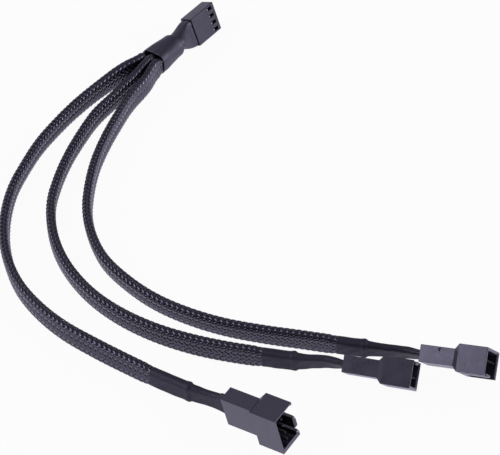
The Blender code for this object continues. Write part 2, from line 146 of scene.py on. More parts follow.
def ripple(along: Array, around: Array, seed: int, waves: int = 6) -> Array:
    """Return a gentle uneven relief between about -1 and 1.

    It is a sum of sines of whole turns around and of free turns along, each
    with its own phase, divided by the root of their number.

    Args:
        along: Distance along the surface, in millimetres.
        around: Angle round the surface, in radians.
        seed: Start of the random numbers.
        waves: How many sines are added.

    Returns:
        The relief on the grid of along and around.
    """
    rng = np.random.default_rng(seed)
    turns = rng.integers(1, 5, waves)
    pace = rng.uniform(0.3, 1.6, waves)
    phase = rng.uniform(0.0, 2 * math.pi, waves)
    total = sum(
        np.sin(turns[k] * around + pace[k] * along + phase[k]) for k in range(waves)
    )
    return total / math.sqrt(waves)


@dataclass
class Surface:
    """Collects closed tubes, in millimetres, and writes them as one mesh."""

    points: list[Array] = field(default_factory=list)
    corners: list[Array] = field(default_factory=list)
    sizes: list[Array] = field(default_factory=list)
    shades: list[Array] = field(default_factory=list)
    count: int = 0

    def add_tube(self, rings: Array, shade: float = 0.5) -> None:
        """Add a grid of rings as one closed skin with a flat cap at each end.

        Neighbouring rings are joined by quads.  The skin is turned so that
        its enclosed volume, the sum of the scalar triple products of its
        faces, is positive.

        Args:
            rings: Points of shape (rings, points around, 3).
            shade: Value kept at each vertex for the finish to read.
        """
        rows, around = rings.shape[:2]
        index = np.arange(rows * around).reshape(rows, around)
        after = np.roll(index, -1, axis=1)
        quads = np.stack([index[:-1], after[:-1], after[1:], index[1:]], axis=-1)
        quads = quads.reshape(-1, 4)
        caps = [index[0][::-1], index[-1]]
        flat = rings.reshape(-1, 3)
        middle = flat.mean(axis=0)

        def volume(faces: Array) -> float:
            """Return the signed volume under faces seen from the middle."""
            p = flat[faces] - middle
            return sum(
                float(np.einsum("ij,ij->", p[:, 0], np.cross(p[:, k], p[:, k + 1])))
                for k in range(1, faces.shape[1] - 1)
            )

        total = volume(quads) + sum(volume(cap[None, :]) for cap in caps)
        if total < 0:
            quads = quads[:, ::-1]
            caps = [cap[::-1] for cap in caps]
        self.points.append(flat)
        self.corners += [quads.ravel() + self.count] + [c + self.count for c in caps]
        self.sizes += [np.full(len(quads), 4), np.full(2, around)]
        self.shades.append(np.full(len(flat), shade))
        self.count += len(flat)

    def build(self, name: str, *materials: Material) -> Piece:
        """Write the collected skins as one smooth object at the origin.

        Args:
            name: The piece's name.
            materials: Its materials, the first of which all faces take.

        Returns:
            The new object.
        """
        points = np.concatenate(self.points) * MM
        corners = np.concatenate(self.corners)
        sizes = np.concatenate(self.sizes)
        mesh = bpy.data.meshes.new(name)
        mesh.vertices.add(len(points))
        mesh.vertices.foreach_set("co", points.astype(np.float32).ravel())
        mesh.loops.add(len(corners))
        mesh.loops.foreach_set("vertex_index", corners.astype(np.int32))
        mesh.polygons.add(len(sizes))
        starts = np.concatenate([[0], np.cumsum(sizes)[:-1]]).astype(np.int32)
        mesh.polygons.foreach_set("loop_start", starts)
        mesh.polygons.foreach_set("use_smooth", np.ones(len(sizes), dtype=bool))
        mesh.update(calc_edges=True)
        mesh.validate()
        shade = mesh.attributes.new("shade", "FLOAT", "POINT")
        shade.data.foreach_set("value", np.concatenate(self.shades).astype(np.float32))
        mesh.set_sharp_from_angle(angle=SMOOTH_ANGLE)
        return link_piece(name, mesh, *materials)


def tube_piece(name: str, rings: Array, material: Material) -> Piece:
    """Return one closed tube as a piece."""
    surface = Surface()
    surface.add_tube(rings)
    return surface.build(name, material)


def link_piece(name: str, mesh: Mesh, *materials: Material) -> Piece:
    """Link a mesh as an object with these materials, and return it."""
    for material in materials:
        mesh.materials.append(material)
    piece = bpy.data.objects.new(name, mesh)
    bpy.context.scene.collection.objects.link(piece)
    return piece


def hand_over(piece: Piece, slot: Slot, *nodes: str) -> Piece:
    """Let a piece ride on the cable and replace its nodes.

    Args:
        piece: The finished piece.
        slot: The record's slot meant for the piece; not used.
        nodes: The CAD nodes that it stands for.

    Returns:
        The same piece.
    """
    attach(piece, "root")
    if nodes:
        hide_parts(*nodes)
    LOG.info("%s: %d faces", piece.name, len(piece.data.polygons))
    return piece


def stadium(across: Array, half_flat: float, radius: Array | float) -> tuple[Array, Array]:
    """Return places round a flat section with round edges.

    The way round starts at the low end of the +Y face, runs up that face,
    round the top edge, down the -Y face and round the bottom edge.  Each
    face takes FLAT_SHARE of it and each edge EDGE_SHARE, on which the
    radius turns evenly through half a circle.

    Args:
        across: Share of the way round, any real number.
        half_flat: Half the length of the flat faces.
        radius: Distance from the middle line to the surface.

    Returns:
        The Y and Z of each place.
    """
    turn = np.mod(across, 1.0)
    flat, arc = FLAT_SHARE, EDGE_SHARE
    part_one = turn < flat
    part_two = (turn >= flat) & (turn < flat + arc)
    part_three = (turn >= flat + arc) & (turn < 2 * flat + arc)
    bend_top = (turn - flat) / arc * math.pi
    bend_low = (turn - 2 * flat - arc) / arc * math.pi
    y = np.select(
        [part_one, part_two, part_three],
        [radius + 0 * turn, radius * np.cos(bend_top), -radius + 0 * turn],
        -radius * np.cos(bend_low),
    )
    z = np.select(
        [part_one, part_two, part_three],
        [
            half_flat * (2 * turn / flat - 1),
            half_flat + radius * np.sin(bend_top),
            half_flat * (1 - 2 * (turn - flat - arc) / flat),
        ],
        -half_flat - radius * np.sin(bend_low),
    )
    return y, z


@dataclass(frozen=True)
class Axes:
    """A place with three axes, as columns of a matrix."""

    origin: Array
    matrix: Array

    @classmethod
    def facing(cls, origin: Array, direction: Array, roll: float) -> Axes:
        """Return axes with X along a direction, rolled from level.

        Y lies level to the left of the direction, before the roll in
        degrees turns it toward Z about X.
        """
        x = unit(np.asarray(direction, dtype=float))
        level = unit(np.array([-x[1], x[0], 0.0]))
        above = np.cross(x, level)
        turn = math.radians(roll)
        y = level * math.cos(turn) + above * math.sin(turn)
        z = above * math.cos(turn) - level * math.sin(turn)
        return cls(np.asarray(origin, dtype=float), np.stack([x, y, z], axis=1))

    def place(self, points: Array) -> Array:
        """Return local points in the frame of the model."""
        return points @ self.matrix.T + self.origin


# --------------------------------------------------------------------------
# Finishes
# --------------------------------------------------------------------------

COOL_GLOSS = (0.88, 0.86, 1.0, 1.0)
COOL_LIGHT = (0.84, 0.81, 1.0, 1.0)
WHITE = (1.0, 1.0, 1.0, 1.0)
NOISE_SPAN = (0.3, 0.7)


@dataclass(frozen=True)
class Noise:
    """One noise of a finish in bumps per metre, and its relief in millimetres."""

    per_metre: float
    detail: float = 2.0
    depth: float = 0.0
    strength: float = 1.0
    stretch: Triple | None = None


class NodeSheet:
    """One material's node tree, with short calls for what it holds."""

    def __init__(self, name: str) -> None:
        """Start a material with an empty tree."""
        self.material = bpy.data.materials.new(name)
        self.material.use_nodes = True
        self.tree = self.material.node_tree
        self.tree.nodes.clear()
        self.output = self.tree.nodes.new("ShaderNodeOutputMaterial")
        coordinates = self.tree.nodes.new("ShaderNodeTexCoord")
        self.place = coordinates.outputs["Object"]

    def link(self, source: Socket, target: Socket) -> None:
        """Join two sockets."""
        self.tree.links.new(source, target)

    def noise(self, noise: Noise) -> Socket:
        """Add a noise on object coordinates, with values from 0 to 1.

        Args:
            noise: Its scale and detail, and its stretch along the axes.

        Returns:
            The noise's value.
        """
        source = self.place
        if noise.stretch is not None:
            mapping = self.tree.nodes.new("ShaderNodeMapping")
            mapping.inputs["Scale"].default_value = noise.stretch
            self.link(source, mapping.inputs["Vector"])
            source = mapping.outputs["Vector"]
        node = self.tree.nodes.new("ShaderNodeTexNoise")
        node.inputs["Scale"].default_value = noise.per_metre
        node.inputs["Detail"].default_value = noise.detail
        self.link(source, node.inputs["Vector"])
        return node.outputs["Fac"]

    def attribute(self, name: str) -> Socket:
        """Read a value that the mesh keeps at its vertices."""
        node = self.tree.nodes.new("ShaderNodeAttribute")
        node.attribute_name = name
        return node.outputs["Fac"]

    def math(self, operation: str, first: Socket, second: Socket | float) -> Socket:
        """Work out one value from two.

        Args:
            operation: Name of the operation.
            first: Its first value.
            second: Its second value, a socket or a number.

        Returns:
            The result.
        """
        node = self.tree.nodes.new("ShaderNodeMath")
        node.operation = operation
        self.link(first, node.inputs[0])
        if isinstance(second, float):
            node.inputs[1].default_value = second
        else:
            self.link(second, node.inputs[1])
        return node.outputs[0]

    def span(self, source: Socket, ends: Pair) -> Socket:
        """Map a noise to a run between two numbers."""
        node = self.tree.nodes.new("ShaderNodeMapRange")
        names = ("From Min", "From Max", "To Min", "To Max")
        for name, value in zip(names, (*NOISE_SPAN, *ends)):
            node.inputs[name].default_value = value
        self.link(source, node.inputs["Value"])
        return node.outputs["Result"]

    def ramp(self, source: Socket, colour: Triple, factors: Pair) -> Socket:
        """Map a value to a run between a colour times two factors."""
        node = self.tree.nodes.new("ShaderNodeValToRGB")
        for end, place, factor in zip(node.color_ramp.elements, NOISE_SPAN, factors):
            end.position = place
            end.color = (*(channel * factor for channel in colour), 1.0)
        self.link(source, node.inputs["Fac"])
        return node.outputs["Color"]

    def bump(self, source: Socket, noise: Noise, under: Socket | None = None) -> Socket:
        """Add a relief.

        Args:
            source: Its height, from 0 to 1.
            noise: The noise whose depth and strength it takes.
            under: A relief that it lies on.

        Returns:
            The normal.
        """
        node = self.tree.nodes.new("ShaderNodeBump")
        node.inputs["Distance"].default_value = noise.depth * MM
        node.inputs["Strength"].default_value = noise.strength
        self.link(source, node.inputs["Height"])
        if under is not None:
            self.link(under, node.inputs["Normal"])
        return node.outputs["Normal"]

    def shader(
        self,
        colour: Socket,
        roughness: Socket,
        normal: Socket,
        gloss: float | None = None,
        metallic: float = 0.0,
    ) -> Material:
        """Finish with the shader.

        Args:
            colour: Where its colour comes from.
            roughness: Where its roughness comes from.
            normal: Its relief.
            gloss: Level of its lilac surface shine, or none for the usual one.
            metallic: How metallic it is.

        Returns:
            The finished material.
        """
        node = self.tree.nodes.new("ShaderNodeBsdfPrincipled")
        node.inputs["Metallic"].default_value = metallic
        if gloss is not None:
            node.inputs["Specular Tint"].default_value = COOL_GLOSS
            node.inputs["Specular IOR Level"].default_value = gloss
        self.link(colour, node.inputs["Base Color"])
        self.link(roughness, node.inputs["Roughness"])
        self.link(normal, node.inputs["Normal"])
        self.link(node.outputs["BSDF"], self.output.inputs["Surface"])
        return self.material


@dataclass(frozen=True)
class Skin:
    """A finish ruled by one broad noise, with a fine relief if wanted."""

    colour: Triple
    factors: Pair
    rough: Pair
    broad: Noise
    fine: Noise | None = None
    gloss: float | None = None

    def material(self, name: str) -> Material:
        """Return the finish as a material.

        The broad noise sets the colour, the roughness and a relief, and the
        fine noise lays a second relief on the first.
        """
        sheet = NodeSheet(name)
        broad = sheet.noise(self.broad)
        normal = sheet.bump(broad, self.broad)
        if self.fine is not None:
            normal = sheet.bump(sheet.noise(self.fine), self.fine, normal)
        return sheet.shader(
            sheet.ramp(broad, self.colour, self.factors),
            sheet.span(broad, self.rough),
            normal,
            self.gloss,
        )


@dataclass(frozen=True)
class MouldedNylon(Skin):
    """Black moulded plastic with a fine spark-eroded grain."""

    colour: Triple = (0.0115, 0.0105, 0.0150)
    factors: Pair = (0.86, 1.14)
    rough: Pair = (0.27, 0.36)
    broad: Noise = Noise(420.0, 3.0, 0.03, 0.5, (1.0, 1.0, 0.35))
    fine: Noise | None = Noise(5200.0, 3.0, 0.012, 0.9)
    gloss: float | None = 1.35


@dataclass(frozen=True)
class EdgeHighlightNylon(Skin):
    """The same plastic on the rounded edges, lighter in colour as a painted highlight and a little
    less rough.
    """

    # Lighter than the faces' colour: a painted highlight along the edges.
    colour: Triple = (0.020, 0.018, 0.026)
    factors: Pair = (0.7, 1.3)
    rough: Pair = (0.24, 0.36)
    broad: Noise = Noise(900.0, 3.0, 0.01, 0.6)
    gloss: float | None = 0.8


@dataclass(frozen=True)
class HeatShrink(Skin):
    """Black polyolefin tube, matt, drawn lengthwise as it shrank."""

    colour: Triple = (0.0160, 0.0142, 0.0212)
    factors: Pair = (0.85, 1.15)
    rough: Pair = (0.40, 0.52)
    broad: Noise = Noise(260.0, 3.0, 0.05, 0.5)
    fine: Noise | None = Noise(2600.0, 4.0, 0.014, 0.8)
    gloss: float | None = 0.9


@dataclass(frozen=True)
class WireJacket(Skin):
    """Soft black insulation of the wires."""

    colour: Triple = (0.0095, 0.0082, 0.0125)
    factors: Pair = (0.8, 1.2)
    rough: Pair = (0.40, 0.55)
    broad: Noise = Noise(1500.0, 3.0, 0.010, 0.6)


@dataclass(frozen=True)
class BraidFilament:
    """Black drawn polyester thread with a hard narrow shine."""

    colour: Triple = (0.0070, 0.0060, 0.0098)
    factors: Pair = (0.75, 1.3)
    rough: Pair = (0.18, 0.28)
    fine: Noise = Noise(3800.0, 2.0, 0.006, 0.6)
    gloss: float = 1.0

    def material(self, name: str) -> Material:
        """Return the finish as a material, each strand in its own shade."""
        sheet = NodeSheet(name)
        fine = sheet.noise(self.fine)
        return sheet.shader(
            sheet.ramp(sheet.attribute("shade"), self.colour, self.factors),
            sheet.span(fine, self.rough),
            sheet.bump(fine, self.fine),
            self.gloss,
        )


@dataclass(frozen=True)
class TinnedContact:
    """Tin-plated contact metal with fine drawing lines, its colour darkened far below tin's as
    painted shade.
    """

    # Very dark for tin: painted shade for contacts that sit deep in their housings; the tarnish
    # noise only mottles it.
    colour: Triple = (0.095, 0.086, 0.078)
    factors: Pair = (0.8, 1.0)
    rough: Pair = (0.30, 0.46)
    lines: Noise = Noise(2400.0, 3.0, 0.006, 0.6, (0.15, 0.15, 1.0))
    tarnish: Noise = Noise(700.0, 3.0)

    def material(self, name: str) -> Material:
        """Return the finish as a material."""
        sheet = NodeSheet(name)
        lines = sheet.noise(self.lines)
        return sheet.shader(
            sheet.ramp(sheet.noise(self.tarnish), self.colour, self.factors),
            sheet.span(lines, self.rough),
            sheet.bump(lines, self.lines),
            metallic=1.0,
        )


@dataclass(frozen=True)
class PalePaper:
    """White studio paper that renders white and keeps a faint shadow."""

    colour: Triple = (0.90, 0.90, 0.90)
    factors: Pair = (0.985, 1.0)
    fibre: Noise = Noise(60.0)
    kept_light: float = 0.05

    def material(self, name: str) -> Material:
        """Return the paper as a material.

        Camera, glossy and transmission rays see a plain glow, white to the
        camera and lilac to the others, with the kept share of the lit
        paper.  All other rays see the lit paper alone.
        """
        sheet = NodeSheet(name)
        nodes = sheet.tree.nodes
        path = nodes.new("ShaderNodeLightPath")
        camera = path.outputs["Is Camera Ray"]
        seen = sheet.math("MAXIMUM", camera, path.outputs["Is Glossy Ray"])
        seen = sheet.math("MAXIMUM", seen, path.outputs["Is Transmission Ray"])
        share = sheet.math("MULTIPLY", seen, 1.0 - self.kept_light)
        lit = nodes.new("ShaderNodeBsdfDiffuse")
        shade = sheet.ramp(sheet.noise(self.fibre), self.colour, self.factors)
        sheet.link(shade, lit.inputs["Color"])
        tone = nodes.new("ShaderNodeMix")
        tone.data_type = "RGBA"
        tone.inputs["A"].default_value = COOL_LIGHT
        tone.inputs["B"].default_value = WHITE
        sheet.link(camera, tone.inputs["Factor"])
        plain = nodes.new("ShaderNodeEmission")
        sheet.link(tone.outputs["Result"], plain.inputs["Color"])
        mix = nodes.new("ShaderNodeMixShader")
        sheet.link(share, mix.inputs["Fac"])
        sheet.link(lit.outputs["BSDF"], mix.inputs[1])
        sheet.link(plain.outputs["Emission"], mix.inputs[2])
        sheet.link(mix.outputs["Shader"], sheet.output.inputs["Surface"])
        return sheet.material


class FinishSet:
    """All finishes of the cable, made once."""

    def __init__(self) -> None:
        """Make every material."""
        self.plug = MouldedNylon(gloss=0.75).material("moulded_nylon_plug")
        self.socket = MouldedNylon().material("moulded_nylon_socket")
        # The rounds take a lighter colour than the faces, a painted highlight along every edge.
        self.edge = EdgeHighlightNylon().material("edge_highlight_nylon")
        self.shrink = HeatShrink().material("heat_shrink_tube")
        self.end_shrink = HeatShrink(rough=(0.54, 0.64), gloss=0.55).material("heat_shrink_end")
        self.braid = BraidFilament().material("braid_filament")
        self.jacket = WireJacket().material("wire_jacket")
        # The contacts' default colour is painted shade; the tangs below keep a plain tin colour.
        self.metal = TinnedContact().material("shade_darkened_contact")
        self.bright_metal = TinnedContact((0.66, 0.64, 0.62)).material("tinned_tang")


# --------------------------------------------------------------------------
# Mouldings
# --------------------------------------------------------------------------


def merge(work: bmesh.types.BMesh, distance: float) -> None:
    """Join points within a distance, and faces that lie in one plane."""
    bmesh.ops.remove_doubles(work, verts=work.verts, dist=distance * MM)
    bmesh.ops.dissolve_limit(work, angle_limit=FLAT_ANGLE, verts=work.verts, edges=work.edges)


def cut_copy(node: str, name: str, cutters: Surface | None) -> Mesh:
    """Return a CAD node's shape as a merged mesh, with more cut from it.

    Args:
        node: The CAD node.
        name: Name of the new mesh.
        cutters: Closed skins to cut away, or none.

    Returns:
        The new mesh.
    """
    mesh = bpy.data.meshes.new(name)
    work = bmesh.new()
    work.from_mesh(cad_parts[node].data)
    merge(work, 0.002)
    work.to_mesh(mesh)
    work.free()
    if cutters is None:
        return mesh
    body = link_piece(f"{name}_blank", mesh)
    knife = cutters.build(f"{name}_knife")
    modifier = body.modifiers.new("cut", "BOOLEAN")
    modifier.operation = "DIFFERENCE"
    modifier.solver = "EXACT"
    modifier.object = knife
    bpy.context.view_layer.update()
    graph = bpy.context.evaluated_depsgraph_get()
    result = bpy.data.meshes.new_from_object(body.evaluated_get(graph))
    for spent in (body, knife):
        bpy.data.objects.remove(spent, do_unlink=True)
    result.name = name
    return result


def round_edges(mesh: Mesh, radius: float) -> None:
    """Round a moulding's edges in place.

    Every edge whose faces meet at more than SHARP_ANGLE gets a round of
    three facets, which take the second material, a lighter finish that paints a highlight.

    Args:
        mesh: A merged mesh.
        radius: The round's reach from the edge, in millimetres.
    """
    work = bmesh.new()
    work.from_mesh(mesh)
    merge(work, 0.004)
    sharp = [e for e in work.edges if e.is_manifold and e.calc_face_angle() > SHARP_ANGLE]
    bmesh.ops.bevel(
        work,
        geom=sharp,
        offset=radius * MM,
        offset_type="OFFSET",
        segments=3,
        profile=0.5,
        affect="EDGES",
        clamp_overlap=True,
        material=1,
    )
    for face in work.faces:
        face.smooth = True
    work.to_mesh(mesh)
    work.free()


def moulding(
    node: str,
    name: str,
    radius: float,
    cutters: Surface | None,
    face: Material,
    edge: Material,
) -> Piece:
    """Return a CAD node's shape as a moulding with rounded edges.

    Args:
        node: The CAD node.
        name: The new piece's name.
        radius: Reach of the rounded edges.
        cutters: More to cut away, or none.
        face: Finish of the faces.
        edge: Finish of the rounds, lighter as a painted highlight.

    Returns:
        The new piece, flat faces shading flat.
    """
    mesh = cut_copy(node, name, cutters)
    mesh.materials.clear()
    round_edges(mesh, radius)
    piece = link_piece(name, mesh, face, edge)
    normals = piece.modifiers.new("flat_faces", "WEIGHTED_NORMAL")
    normals.mode = "FACE_AREA"
    normals.weight = 50
    return piece


@dataclass
class SocketPlug:
    """The socket plug: housing, contacts with their tangs, wires behind."""

    finish: FinishSet
    rear: Triple = (0.0, 4.15, 5.5698)
    lean: float = -21.5
    length: float = 12.4
    edge_radius: float = 0.12
    window_length: float = 2.4
    window_setback: float = 1.3
    tang_width: float = 0.62
    tang_sheet: float = 0.2
    tang_root: float = 1.5
    tang_run: float = 1.42
    tang_depth: float = 0.75
    tang_spring: float = 1.5
    wire: float = 1.25
    wire_gather: float = 0.92
    wire_reach: Pair = (-1.6, 0.25)

    @property
    def axes(self) -> Axes:
        """The plug's own axes."""
        return Axes.facing(np.array(self.rear), np.array([0.0, 1.0, 0.0]), self.lean)

    def build(self) -> None:
        """Build the housing, the tangs and the wires, and dress the contacts."""
        axes = self.axes
        end = self.length - self.window_setback
        housing = moulding(
            "plug_housing", "plug_moulding", self.edge_radius, None,
            self.finish.plug, self.finish.edge,
        )
        hand_over(housing, Slot.PLUG, "plug_housing")
        hand_over(self.tangs(axes, end), Slot.METAL)
        hand_over(self.wires(axes), Slot.SHRINK)
        # The terminals take the contact finish, whose dark colour is painted shade.
        for number in range(1, PIN_COUNT + 1):
            dress_node(f"plug_terminal_{number}", self.finish.metal)

    def tangs(self, axes: Axes, window_end: float) -> Piece:
        """Build the four sprung tangs that show in the windows.

        Each is a strip whose middle line springs backward and out of the
        contact in an eased step, carried with a constant sheet thickness,
        and ends just under the face at the window's rear.
        """
        surface = Surface()
        start = window_end - self.window_length
        share = np.linspace(0.0, 1.0, 12)
        x = start + self.tang_root - share * self.tang_run
        y = -self.tang_depth - self.tang_spring * ease(share, 0.0, 0.9)
        slope = np.gradient(y, x)
        lean = np.stack([-slope, np.ones_like(slope)], axis=1)
        lean = unit(lean) * self.tang_sheet / 2
        for z in PIN_PLACES:
            half = self.tang_width / 2 * (1 - 0.25 * share**3)
            corner = [(1, 1), (1, -1), (-1, -1), (-1, 1)]
            rings = np.stack([
                np.stack([x + s * lean[:, 0], y + s * lean[:, 1], z + t * half], axis=-1)
                for s, t in corner
            ], axis=1)
            surface.add_tube(axes.place(rings))
        return surface.build("plug_tangs", self.finish.bright_metal)

    def wires(self, axes: Axes) -> Piece:
        """Build the four wires that enter the housing's rear."""
        return short_wires(
            "plug_wires", axes, self.wire_gather, self.wire_reach, self.wire / 2,
            self.finish.jacket,
        )


def dress_node(node: str, material: Material) -> None:
    """Give a CAD node that stays a better finish."""
    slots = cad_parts[node].data.materials
    slots.clear()
    slots.append(material)
    LOG.info("%s: dressed", node)


def short_wires(
    name: str, axes: Axes, gather: float, reach: Pair, radius: float, material: Material
) -> Piece:
    """Build the round wires that spread out to a connector's contacts.

    Each wire's middle line eases across from its place in the gathered row
    to its contact, with a circle carried along it.

    Args:
        name: The new piece's name.
        axes: Axes of the connector.
        gather: Share of the contacts' pitch at which the wires start.
        reach: Where they start and end along X.
        radius: Radius of a wire.
        material: Their finish.

    Returns:
        The new piece.
    """
    surface = Surface()
    share = np.linspace(0.0, 1.0, 9)[:, None]
    angle = full_turn(16)
    x = reach[0] + share * (reach[1] - reach[0])
    for place in PIN_PLACES:
        start = place * gather
        z = start + (place - start) * ease(share, 0.0, 1.0)
        rings = grid(x, radius * np.cos(angle), z + radius * np.sin(angle))
        surface.add_tube(axes.place(rings))
    return surface.build(name, material)


@dataclass
class Hub:
    """The two shrink tubes between the plug and the sleeves."""

    finish: FinishSet
    plug: SocketPlug
    wire_length: float = 8.8
    squareness: float = 7.0
    wire_ridge: float = 0.06
    wire_crease: float = 0.05
    flat_width: float = 9.6
    flat_thickness: float = 4.2
    waist: float = 6.6
    waist_oval: Pair = (1.04, 0.98)
    round_run: Pair = (0.02, 0.86)
    sleeve_length: float = 11.3
    throat: float = 8.4
    mouth_width: float = 9.2
    mouth_height: float = 8.3
    wall: float = 0.4
    sleeve_dip: float = 0.16
    sleeve_crease: float = 0.03
    rise: float = 0.5
    slant: float = 0.45

    @property
    def height(self) -> float:
        """Height of the sleeves' middle line at the mouth."""
        return self.plug.rear[2] + self.rise

    @property
    def mouth_y(self) -> float:
        """Where the sleeve tube's mouth lies along the hub."""
        return self.plug.rear[1] - 3 * CLEARANCE - self.wire_length - self.sleeve_length

    def build(self) -> None:
        """Build both tubes."""
        hand_over(self.wire_tube(), Slot.SHRINK, "hub_wire_shrink")
        hand_over(self.sleeve_tube(), Slot.SHRINK, "hub_sleeve_shrink")

    def wire_tube(self) -> Piece:
        """Build the tube that turns from the flat row to a round bundle.

        A ring blends a squarish section, a superellipse of power 7 that is
        wide across the row, into a circle, so that flat three-cornered
        facets run between them.  The four wires show as low ridges that
        fade away from the plug.
        """
        share = np.linspace(-0.02, 1.12, 70)[:, None]
        angle = full_turn(96)
        cos, sin = np.cos(angle), np.sin(angle)
        power = 2.0 / self.squareness
        round_off = ease(share, *self.round_run)
        flat_y = self.flat_thickness / 2 * bent(cos, power)
        flat_z = self.flat_width / 2 * bent(sin, power)
        ring_y, ring_z = (self.waist / 2 * oval for oval in self.waist_oval)
        y = flat_y * (1 - round_off) + ring_y * cos * round_off
        z = flat_z * (1 - round_off) + ring_z * sin * round_off
        ridge = self.wire_ridge * (1 - ease(share, 0.1, 0.7)) * bent(cos, 0.5)
        y = y - ridge * (np.cos(2 * math.pi * z / (PIN_PITCH * ROW_GATHER)) + 0.2)
        relief = self.wire_crease * ripple(share * self.wire_length, angle, 11)
        x = -CLEARANCE - share * self.wire_length
        local = grid(x, y + relief * cos, z + relief * sin)
        local[0] *= (1.0, 0.97, 0.985)
        points = self.plug.axes.place(local)
        points[..., 2] += self.rise * ease(share, 0.2, 0.95)
        return tube_piece("hub_wire_tube", points, self.finish.shrink)

    def sleeve_tube(self) -> Piece:
        """Build the tube that gathers the three sleeves.

        Rings run from inside the front rim out over it, back along the
        outside while the circle turns squarer, and round the mouth's rim
        into the mouth.  A superellipse's power grows from 2 to 2.9 on the
        way, and between the sleeves the skin dips a little.  The front is
        cut oblique, which fades with the cube of the way back.
        """
        share = np.concatenate([
            [0.0, 0.0, 0.004, 0.012, 0.022, 0.04],
            np.linspace(0.06, 0.97, 70),
            [0.985, 0.994, 1.0, 1.0, 0.99, 0.97, 0.8, 0.55],
        ])[:, None]
        count = share.shape[0]
        inset = np.zeros(count)
        inset[:6] = (1.0, 0.55, 0.25, 0.10, 0.03, 0.0)
        inset[-8:] = (0.0, 0.06, 0.16, 0.34, self.wall, self.wall + 0.02, self.wall, self.wall)
        inset = inset[:, None]
        angle = full_turn(128)
        turn = ease(share, 0.02, 0.5)
        power = 2.0 / (2.0 + 0.9 * ease(share, 0.1, 0.75))
        cos, sin = np.cos(angle), np.sin(angle)
        wide = self.throat / 2 + (self.mouth_width - self.throat) / 2 * ease(share, 0.2, 1.0)
        tall = self.throat / 2 + (self.mouth_height - self.throat) / 2 * turn
        x = (wide - inset) * bent(cos, power)
        z = (tall - inset) * bent(sin, power)
        dip = self.sleeve_dip * ease(share, 0.45, 1.0) * np.abs(sin) ** 2
        z = z + np.sign(sin) * dip * (np.cos(2 * math.pi * x / SLEEVE_PITCH) - 1.0) / 2
        relief = self.sleeve_crease * ripple(share * self.sleeve_length, angle, 12) * (1 - inset)
        y = self.plug.rear[1] - 2 * CLEARANCE - self.wire_length - share * self.sleeve_length
        y = y + self.slant * cos * (1.0 - share) ** 3
        points = grid(x + relief * cos, y, z + relief * sin + self.height)
        return tube_piece("hub_sleeve_tube", points, self.finish.shrink)


# --------------------------------------------------------------------------
# Branches
# --------------------------------------------------------------------------


def smoothed(values: Array, half: int) -> Array:
    """Return evenly spaced values smoothed by a raised cosine."""
    kernel = np.hanning(2 * half + 1)
    padded = np.pad(values, half, mode="edge")
    return np.convolve(padded, kernel / kernel.sum(), mode="valid")


@dataclass(frozen=True)
class Route:
    """A smooth line through points, with the lean of a flat sleeve on it."""

    points: Array
    run: Array

    @classmethod
    def through(cls, points: Array, step: float = 0.25) -> Route:
        """Return an evenly spaced smooth line through some points.

        Between two points it is the cubic whose slopes there are the
        differences across the neighbours, by distance along the route.

        Args:
            points: The points, in millimetres.
            step: Spacing of the result.

        Returns:
            The route.
        """
        p = np.asarray(points, dtype=float)
        s = np.concatenate([[0.0], np.cumsum(np.linalg.norm(np.diff(p, axis=0), axis=1))])
        slope = np.gradient(p, s, axis=0)
        fine = np.linspace(0.0, s[-1], 1200)
        k = np.clip(np.searchsorted(s, fine, side="right") - 1, 0, len(s) - 2)
        h = (s[k + 1] - s[k])[:, None]
        t = (fine[:, None] - s[k][:, None]) / h
        line = (
            (2 * t**3 - 3 * t**2 + 1) * p[k]
            + (t**3 - 2 * t**2 + t) * h * slope[k]
            + (3 * t**2 - 2 * t**3) * p[k + 1]
            + (t**3 - t**2) * h * slope[k + 1]
        )
        run = np.concatenate([[0.0], np.cumsum(np.linalg.norm(np.diff(line, axis=0), axis=1))])
        even = np.linspace(0.0, run[-1], max(2, int(round(run[-1] / step)) + 1))
        return cls(np.stack([np.interp(even, run, line[:, i]) for i in range(3)], axis=1), even)

    @property
    def length(self) -> float:
        """Length of the whole line."""
        return float(self.run[-1])

    def at(self, place: Array) -> Array:
        """Return the points at distances along the line.

        Before its start and past its end the line runs on straight.
        """
        place = np.asarray(place, dtype=float)
        inside = np.clip(place, 0.0, self.length)
        found = np.stack([np.interp(inside, self.run, self.points[:, i]) for i in range(3)], -1)
        first = unit(self.points[1] - self.points[0])
        last = unit(self.points[-1] - self.points[-2])
        before = np.minimum(place, 0.0)[..., None] * first
        past = np.maximum(place - self.length, 0.0)[..., None] * last
        return found + before + past

    def rings(self, place: Array, lean: Array, y: Array, z: Array) -> Array:
        """Return flat sections on the line, in the frame of the model.

        X is the direction over a millimetre of line, Y lies level to its
        left, Z completes them, and the lean turns Y toward Z.

        Args:
            place: Distances along the line, a column or a grid.
            lean: Lean in degrees at each.
            y: Places along Y in each section.
            z: Places along Z in each section.

        Returns:
            Points of shape (places, points around, 3).
        """
        direction = unit(self.at(place + 0.5) - self.at(place - 0.5))
        level = unit(np.stack([-direction[..., 1], direction[..., 0], 0 * place], axis=-1))
        above = np.cross(direction, level)
        turn = np.radians(lean)[..., None]
        across = level * np.cos(turn) + above * np.sin(turn)
        tall = above * np.cos(turn) - level * np.sin(turn)
        return self.at(place) + across * y[..., None] + tall * z[..., None]


